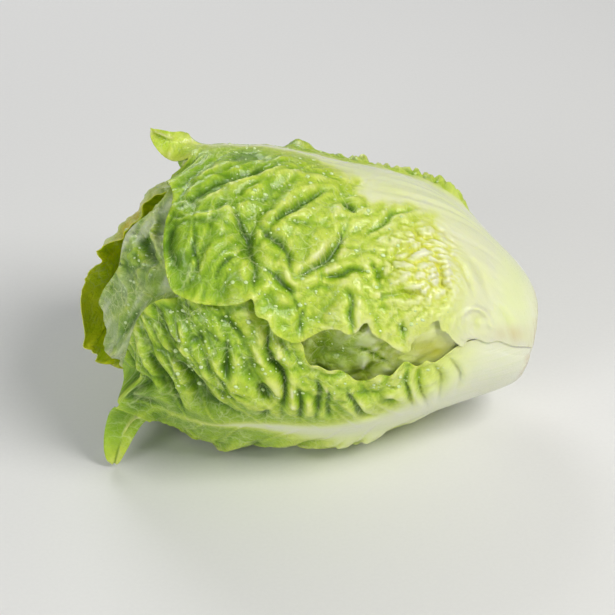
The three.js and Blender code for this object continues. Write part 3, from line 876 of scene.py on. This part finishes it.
def leaf_tint(leaf):
    """The blade's colour on every ray: white at the root and ribs, greener towards the tip, greener in folds
    and valleys as painted shade, and paler on crests as painted highlight.
    """
    u = ALONG - leaf["start"]
    v = np.radians(leaf["turned"]) * ARC
    seed = leaf["seed"]
    grown = np.interp(ALONG, GROWN_AT, GROWN)
    if seed > 4:
        grown = grown * 0.62
    if seed == 2:
        grown = grown + 0.07 * smoothstep(ALONG, 14, 30) * (1 - smoothstep(ALONG, 55, 75))
    # The leaf behind the tip end is paler all over: partly its own light olive, partly painted light against
    # the shade on its inner face.
    if seed == 3:
        grown = grown * 0.66
    if seed == 4:
        grown = grown * (0.7 + 0.3 * smoothstep(ALONG, 60, 100))
    rib_width = lerp(1.6, 12.0, np.clip(1 - ALONG / 95, 0, 1) ** 1.3)
    if seed == 2:
        rib_width = rib_width * np.where(v < 0, 2.6 - 1.6 * smoothstep(ALONG, 60, 90), 1.0)
    rib = bell(v, rib_width) * (1 - 0.7 * smoothstep(ALONG, 70, 125))
    blade = smoothstep(ALONG, 18, 45) * (1 - 0.8 * rib)
    # Painted shade and highlight: the blade is painted greener and darker in valleys and drawn creases, and
    # paler on crests.
    cavity = np.clip(blurred(leaf["height_map"], 2.2) - leaf["height_map"], -1.5, 2.0)
    fine_cavity = np.clip(blurred(leaf["height_map"], 0.9) - leaf["height_map"], -0.8, 0.8)
    amount = grown * (1 - 0.9 * rib)
    amount = amount + blade * 0.07 * cloudy(u / 13, v / 13, seed + 100, 3)
    amount = amount + blade * (0.17 * cavity + 0.26 * fine_cavity)
    amount = amount - 0.20 * leaf["vein_map"] * grown
    amount = amount + 0.13 * leaf["crease_map"] * blade
    if seed == 1:
        # Beside the rib, up to the tongue, the blade is paler: partly its own pale tone, partly a painted
        # highlight along the top.
        pale_and_highlight_beside_rib = bell(v, 8) * smoothstep(ALONG, 52, 72) * (leaf["turned"] < 0)
        amount = amount * (1 - 0.42 * pale_and_highlight_beside_rib * (0.85 + 0.3 * cloudy(u / 8, v / 8, 340, 2)))
    rim = bell(np.maximum(leaf["margin"], 0), 1.4)
    amount = amount - 0.12 * rim * smoothstep(ALONG, 25, 50)
    amount = lerp(amount, np.clip(amount + 0.3, 0.3, 0.7), leaf["puff_map"])
    # Painted shade: drawn creases make the pale petiole a little greener.
    petiole = 0.10 + 0.05 * cloudy(u / 9, v / 9, 330, 2) + 0.07 * leaf["crease_map"]
    amount = lerp(amount, petiole, 0.92 * leaf["white_map"])
    # The ball of tight puffs is greener at its lower left and yellow at its heart.
    x, y = leaf["view"]
    core = 1 - smoothstep(np.hypot(x - BALL_HEART[0], y - BALL_HEART[1]), *BALL_HEART_REACH)
    in_ball = lerp(np.clip(amount, 0.30, 0.66), np.clip(amount - 0.1, 0.08, 0.36), core)
    amount = lerp(amount, in_ball, leaf["ball_map"])
    amount = np.clip(amount, 0, 1)
    colour = green_scale(amount)
    fresh = leaf["ball_map"] * core * np.clip(0.35 + 0.6 * cavity + 1.4 * fine_cavity, 0, 1)
    colour = painted(colour, FRESH_YELLOW, 0.75 * fresh)
    if seed < 3:
        stain = spot(STAIN_SPOT, x, y) * IN_VIEW
        stain = np.clip(stain * (0.8 + 0.6 * cloudy(u / 3, v / 3, 540, 2)), 0, 1)
        colour = painted(colour, STAIN, 0.7 * stain)
    if seed == 4:
        gap = spot(GAP_SPOT, x, y)
        gap = np.clip(gap * (0.9 + 0.4 * cloudy(u / 5, v / 5, 510, 2)), 0, 1)
        colour = painted(colour, GAP_YELLOW, 0.9 * gap)
        # Painted shade: the inner leaf is painted deep green where it lies in shadow between the first two
        # leaves, under the first leaf's margin.
        hollow_shade = spot(SHADED_HOLLOW_SPOT, x, y)
        colour = painted(colour, HOLLOW_SHADE_GREEN, np.clip(0.85 * hollow_shade, 0, 1))
        streaks = value_noise((x + 0.55 * y) / 5.5, (y - 0.55 * x) / 38, 521)
        pale = 0.22 + 0.2 * cloudy(u / 7, v / 7, 520, 2) + 1.05 * np.maximum(streaks, 0)
        pale = pale * smoothstep(ALONG, 84, 100)
        colour = painted(colour, PALE_NET, np.clip(pale, 0, 0.9))
    if seed == 3:
        distance, _ = to_line(AGED_LINE, x, y)
        aged = bell(distance, 5.5) + 0.35 * bell(np.maximum(leaf["margin"], 0), 2.0)
        aged = np.clip(aged * (0.75 + 0.5 * cloudy(u / 6, v / 6, 500, 2)), 0, 1) * smoothstep(ALONG, 84, 100)
        colour = painted(colour, YELLOW, 0.9 * aged)
    return colour, amount


# Meshes and materials.


def new_object(name, data):
    thing = bpy.data.objects.new(name, data)
    bpy.context.scene.collection.objects.link(thing)
    return thing


def smooth_mesh(name, points, faces):
    mesh = bpy.data.meshes.new(name)
    mesh.from_pydata(points.tolist(), [], faces)
    mesh.polygons.foreach_set("use_smooth", [True] * len(mesh.polygons))
    return mesh


def add_values(mesh, name, kind, values):
    attribute = mesh.attributes.new(name, kind, "POINT")
    field = {"FLOAT": "value", "FLOAT_VECTOR": "vector", "FLOAT_COLOR": "color"}[kind]
    attribute.data.foreach_set(field, np.ascontiguousarray(values, np.float32).ravel())


def make_leaf(leaf, step):
    leaf["outer"], leaf["inner"] = face_points(leaf)
    low, high, share, faces, rim = cut_sheet(leaf, step)
    top = mixed(leaf["outer"], low, high, share)
    bottom = mixed(leaf["inner"], low, high, share)
    points = (np.vstack([top, bottom]) + SHIFT) * MM
    points[:, 2] = np.maximum(points[:, 2], ABOVE_FLOOR)
    count = len(low)
    faces = faces + [tuple(n + count for n in reversed(face)) for face in faces]
    faces += [(b, a, a + count, b + count) for a, b in rim]
    mesh = smooth_mesh(leaf["name"] + "_blade", points, faces)
    tint, amount = leaf_tint(leaf)
    leaf["green_map"] = amount
    colour = np.hstack([mixed(tint, low, high, share), np.ones((count, 1))])
    painted_light_underside = colour.copy()
    # The leaf behind the tip end gets a lighter inner face: painted light against the shade that falls on it.
    if leaf["behind"]:
        painted_light_underside[:, :3] = lerp(painted_light_underside[:, :3], linear(UNDERSIDE_PAINTED_LIGHT), 0.85)
    add_values(mesh, "tint", "FLOAT_COLOR", np.vstack([colour, painted_light_underside]))
    across = np.radians(leaf["turned"]) * ARC
    place = np.stack([ALONG - leaf["start"], across, 0 * ALONG + 50 * leaf["seed"]], -1)
    place = mixed(place, low, high, share)
    add_values(mesh, "place", "FLOAT_VECTOR", np.vstack([place, place]))
    green = mixed(amount, low, high, share)
    add_values(mesh, "green", "FLOAT", np.concatenate([green, green]))
    mesh.validate()
    mesh.update()
    return new_object(leaf["name"] + "_blade", mesh)


class Nodes:
    """A material's node tree with short calls."""

    def __init__(self, name):
        self.material = bpy.data.materials.new(name)
        self.material.use_nodes = True
        self.tree = self.material.node_tree
        self.tree.nodes.clear()
        self.out = self.add("ShaderNodeOutputMaterial")
        self.shader = self.add("ShaderNodeBsdfPrincipled")
        self.link(self.shader.outputs["BSDF"], self.out.inputs["Surface"])

    def add(self, kind, inputs=None, **settings):
        node = self.tree.nodes.new(kind)
        for key, value in settings.items():
            setattr(node, key, value)
        for key, value in (inputs or {}).items():
            self.set(node.inputs[key], value)
        return node

    def set(self, socket, value):
        if isinstance(value, bpy.types.NodeSocket):
            self.link(value, socket)
        else:
            socket.default_value = value

    def link(self, a, b):
        self.tree.links.new(a, b)

    def attribute(self, name, output):
        return self.add("ShaderNodeAttribute", attribute_name=name).outputs[output]

    def math(self, operation, a, b):
        return self.add("ShaderNodeMath", {0: a, 1: b}, operation=operation).outputs[0]

    def times(self, a, b):
        return self.math("MULTIPLY", a, b)

    def vector(self, operation, a, b):
        return self.add("ShaderNodeVectorMath", {0: a, 1: b}, operation=operation).outputs[0]

    def remap(self, value, low, high, to_low=0.0, to_high=1.0):
        inputs = {"Value": value, "From Min": low, "From Max": high, "To Min": to_low, "To Max": to_high}
        return self.add("ShaderNodeMapRange", inputs).outputs[0]

    def mix(self, factor, a, b):
        node = self.add("ShaderNodeMix", data_type="RGBA")
        for index, value in ((0, factor), (6, a), (7, b)):
            self.set(node.inputs[index], value)
        return node.outputs[2]

    def noise(self, vector, scale, detail=3.0, rough=0.55):
        inputs = {"Vector": vector, "Scale": scale, "Detail": detail, "Roughness": rough}
        return self.add("ShaderNodeTexNoise", inputs).outputs["Fac"]

    def net(self, vector, scale):
        inputs = {"Vector": vector, "Scale": scale}
        return self.add("ShaderNodeTexVoronoi", inputs, feature="DISTANCE_TO_EDGE").outputs["Distance"]

    def bump(self, height, strength, distance):
        inputs = {"Height": height, "Strength": strength, "Distance": distance}
        return self.add("ShaderNodeBump", inputs).outputs[0]

    def shade(self, values):
        """Links textures to the shader and sets its plain values on its own sockets."""
        for key, value in values.items():
            self.set(self.shader.inputs[key], value)
        return self.material


DARK_MOTTLE = (0.09, 0.24, 0.008, 1.0)
LIGHT_MOTTLE = (0.62, 0.74, 0.22, 1.0)
VEIN_COLOUR = (0.72, 0.82, 0.36, 1.0)
RIB_STREAK = (0.66, 0.74, 0.38, 1.0)
CUT_BROWN = (0.52, 0.36, 0.17, 1.0)
STEM_PALE = (0.80, 0.76, 0.54, 1.0)
STEM_TAN = (0.60, 0.46, 0.27, 1.0)
STEM_SPOT = (0.42, 0.28, 0.14, 1.0)
STEM_RING = (0.40, 0.42, 0.14, 1.0)
WATER_DARK = (0.5, 0.68, 0.2, 1.0)
WATER_LIGHT = (0.72, 0.84, 0.5, 1.0)
PAPER_DARK = (0.72, 0.72, 0.71, 1.0)
PAPER_LIGHT = (0.76, 0.76, 0.75, 1.0)


def leaf_material(name, net_strength):
    n = Nodes(name)
    place = n.attribute("place", "Vector")
    tint = n.attribute("tint", "Color")
    green = n.attribute("green", "Fac")
    warp = n.add("ShaderNodeTexNoise", {"Vector": place, "Scale": 0.3, "Detail": 3.0}).outputs["Color"]
    warped = n.vector("ADD", place, n.vector("MULTIPLY", warp, (4.5, 4.5, 4.5)))
    wide_net = n.net(warped, 0.24)
    fine_net = n.net(warped, 0.8)
    wide_vein = n.remap(wide_net, 0.0, 0.09, 1.0, 0.0)
    fine_vein = n.remap(fine_net, 0.0, 0.13, 1.0, 0.0)
    blade = n.remap(green, 0.15, 0.45)
    veins = n.math("MAXIMUM", wide_vein, n.times(fine_vein, 0.35))
    fading = n.remap(n.noise(place, 0.11, 2.0), 0.38, 0.62)
    veins = n.times(n.times(veins, blade), fading)
    mottle = n.noise(warped, 0.55, 5.0, 0.6)
    darker = n.mix(n.remap(mottle, 0.4, 0.75, 0.0, 0.35), tint, DARK_MOTTLE)
    lighter = n.mix(n.remap(mottle, 0.45, 0.25, 0.0, 0.2), darker, LIGHT_MOTTLE)
    shaded = n.mix(blade, tint, lighter)
    veined = n.mix(n.times(veins, net_strength), shaded, VEIN_COLOUR)
    streaks = n.noise(n.vector("MULTIPLY", place, (0.08, 1.3, 1.0)), 1.0, 4.0)
    white = n.remap(green, 0.3, 0.0)
    on_rib = n.times(n.remap(streaks, 0.42, 0.7, 0.0, 0.3), white)
    coloured = n.mix(on_rib, veined, RIB_STREAK)
    from_cut = n.add("ShaderNodeSeparateXYZ", {0: place}).outputs[0]
    patches = n.remap(n.noise(place, 0.5, 4.0), 0.4, 0.65)
    browned = n.times(n.remap(from_cut, 0.2, 2.4, 0.75, 0.0), patches)
    coloured = n.mix(browned, coloured, CUT_BROWN)
    pores = n.noise(place, 2.4, 4.0, 0.6)
    dents = n.times(n.math("MINIMUM", wide_net, 0.14), 1.6)
    fine_dents = n.times(n.math("MINIMUM", fine_net, 0.2), 0.7)
    heights = n.times(n.math("ADD", dents, fine_dents), blade)
    heights = n.math("ADD", heights, n.times(pores, 0.10))
    heights = n.math("ADD", heights, n.times(n.times(streaks, 0.25), white))
    return n.shade({
        "Base Color": coloured,
        "Roughness": n.remap(pores, 0.3, 0.7, 0.24, 0.42),
        "Normal": n.bump(heights, 0.75, 0.0008),
        "Subsurface Weight": 0.7,
        "Subsurface Radius": (0.9, 1.0, 0.3),
        "Subsurface Scale": 0.0012,
        "IOR": 1.42,
        "Specular IOR Level": 0.35,
        "Coat Weight": 0.3,
        "Coat Roughness": 0.1,
    })


def stem_material():
    n = Nodes("stem_flesh")
    place = n.add("ShaderNodeTexCoord").outputs["Object"]
    cut_centre, _ = rays_at(0.0, 0.0)
    from_centre = n.vector("SUBTRACT", place, tuple((cut_centre + SHIFT) * MM))
    across_cut = n.vector("MULTIPLY", from_centre, (0.0, 1.0, 1.0))
    from_axis = n.add("ShaderNodeVectorMath", {0: across_cut}, operation="LENGTH").outputs["Value"]
    wavering = n.math("ADD", from_axis, n.times(n.noise(place, 420.0, 3.0), 0.0022))
    ring = n.times(n.remap(wavering, 0.0052, 0.0060), n.remap(wavering, 0.0070, 0.0062))
    spots = n.noise(place, 260.0, 4.0)
    patches = n.noise(place, 90.0, 3.0)
    base = n.mix(n.remap(patches, 0.35, 0.7), STEM_PALE, STEM_TAN)
    base = n.mix(n.remap(spots, 0.55, 0.8, 0.0, 0.5), base, STEM_SPOT)
    base = n.mix(n.times(ring, 0.55), base, STEM_RING)
    return n.shade({
        "Base Color": base,
        "Normal": n.bump(spots, 0.4, 0.0006),
        "Roughness": 0.45,
        "Subsurface Weight": 0.3,
        "Subsurface Scale": 0.003,
    })


def water_material():
    n = Nodes("clear_water")
    place = n.add("ShaderNodeTexCoord").outputs["Object"]
    return n.shade({
        "Base Color": n.mix(n.noise(place, 300.0, 1.0), WATER_DARK, WATER_LIGHT),
        "Normal": n.bump(n.noise(place, 900.0, 1.0), 0.05, 0.0002),
        "Roughness": 0.04,
        "IOR": 1.33,
        "Coat Weight": 1.0,
    })


# Water drops: how many on each leaf, and their sizes in millimetres.
DROPS = {1: 440, 2: 200, 3: 60, 4: 60}
SMALLEST_DROP = 0.2
DROP_RANGE = 0.5
DROP_SIDES = 12
DROP_RINGS = 4
DROP_GREEN = 0.24
LOWEST_DROP = -8


def make_drops(leaves):
    random = np.random.default_rng(7)
    points, faces = [], []
    above = np.full(ALONG.shape, -9.0)
    for leaf in leaves[:4]:
        outer = leaf["outer"]
        normals = unit(np.cross(np.gradient(outer, axis=1), np.gradient(outer, axis=0)) + 1e-12)
        normals = normals * np.sign((normals * DIRECTION).sum(-1, keepdims=True))
        wet = (leaf["margin"] > 1.5) & (above < -2.5)
        wet &= (outer[..., 2] > LOWEST_DROP) & (leaf["green_map"] > DROP_GREEN)
        wet &= ALONG < (leaf["tongue"] or {"hinge": 140})["hinge"]
        rows, columns = np.nonzero(wet)
        picks = random.choice(len(rows), min(DROPS[leaf["seed"]], len(rows)), replace=False)
        for pick in picks:
            row, column = rows[pick], columns[pick]
            radius = SMALLEST_DROP + DROP_RANGE * random.random() ** 3
            centre = outer[row, column]
            normal = normals[row, column]
            east = unit(np.cross(normal, (0.3, 0.5, 0.8)))
            north = np.cross(normal, east)
            stretch = 1 + 0.3 * random.random()
            first = len(points)
            for ring in range(DROP_RINGS):
                slope = math.pi / 2 * ring / DROP_RINGS
                for side in range(DROP_SIDES):
                    angle = 2 * math.pi * side / DROP_SIDES
                    flat = east * math.cos(angle) * stretch + north * math.sin(angle) / stretch
                    rise = 0.62 * math.sin(slope) - 0.12
                    points.append(centre + radius * (flat * math.cos(slope) + normal * rise))
            points.append(centre + radius * 0.5 * normal)
            points.append(centre - radius * 0.14 * normal)
            for ring in range(DROP_RINGS - 1):
                for side in range(DROP_SIDES):
                    a = first + ring * DROP_SIDES + side
                    b = first + ring * DROP_SIDES + (side + 1) % DROP_SIDES
                    faces.append((a, b, b + DROP_SIDES, a + DROP_SIDES))
            last = first + (DROP_RINGS - 1) * DROP_SIDES
            top = first + DROP_RINGS * DROP_SIDES
            for side in range(DROP_SIDES):
                faces.append((last + side, last + (side + 1) % DROP_SIDES, top))
                faces.append((first + (side + 1) % DROP_SIDES, first + side, top + 1))
        above = np.maximum(above, leaf["margin"])
    mesh = smooth_mesh("water_drops", (np.array(points) + SHIFT) * MM, faces)
    mesh.update()
    return new_object("water_drops", mesh)


leaves = all_leaves()
work_out_faces(leaves)
materials = [
    leaf_material(name, net_strength)
    for name, net_strength in (("outer_blade", 0.5), ("heart_blade", 0.45), ("net_blade", 0.8))
]
for leaf in leaves:
    seed = leaf["seed"]
    step = 1 if seed <= 4 else 2 if seed <= 6 else 4
    piece = make_leaf(leaf, step)
    piece.data.materials.append(materials[2 if seed in (3, 4) else 0 if seed <= 4 else 1])
    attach(piece, "root")
    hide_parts(leaf["name"])

drops = make_drops(leaves)
drops.data.materials.append(water_material())
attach(drops, "root")

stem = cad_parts["stem_core"]
stem.data.materials.clear()
stem.data.materials.append(stem_material())

# Floor, light and camera.


def floor_material():
    n = Nodes("floor_paper")
    place = n.add("ShaderNodeTexCoord").outputs["Object"]
    base = n.mix(n.noise(place, 900.0, 2.0), PAPER_DARK, PAPER_LIGHT)
    return n.shade({"Base Color": base, "Roughness": 0.8})


mesh = bpy.data.meshes.new("floor")
mesh.from_pydata([(-3, -3, 0), (3, -3, 0), (3, 3, 0), (-3, 3, 0)], [], [(0, 1, 2, 3)])
floor = new_object("floor", mesh)
floor.data.materials.append(floor_material())

camera_data = bpy.data.cameras.new("camera")
camera_data.lens = LENS
camera_data.sensor_width = SENSOR
camera = new_object("camera", camera_data)
camera.location = Vector((VIEW_CENTRE + SHIFT + VIEW_BACK * VIEW_DISTANCE) * MM)
camera.rotation_euler = (math.pi / 2 - elevation, 0, 0)
bpy.context.scene.camera = camera


def area_light(name, place, size, power, colour=(1, 1, 1)):
    data = bpy.data.lights.new(name, "AREA")
    data.shape = "DISK"
    data.size = size
    data.energy = power
    data.color = colour
    lamp = new_object(name, data)
    lamp.location = Vector(place)
    aim = Vector((0, 0, 0.04)) - lamp.location
    lamp.rotation_euler = aim.to_track_quat("-Z", "Y").to_euler()


area_light("key", (0.46, -0.30, 0.62), 0.42, 5.1, (1.0, 0.98, 0.94))
area_light("fill", (-0.6, -0.8, 0.40), 0.5, 3.8)
area_light("rim", (-0.25, 0.7, 0.55), 0.45, 2.6)

world = bpy.data.worlds.new("studio")
bpy.context.scene.world = world
world.use_nodes = True
world.node_tree.nodes["Background"].inputs[0].default_value = (0.92, 0.95, 1.0, 1.0)
world.node_tree.nodes["Background"].inputs[1].default_value = 0.2
bpy.context.scene.view_settings.view_transform = "Standard"
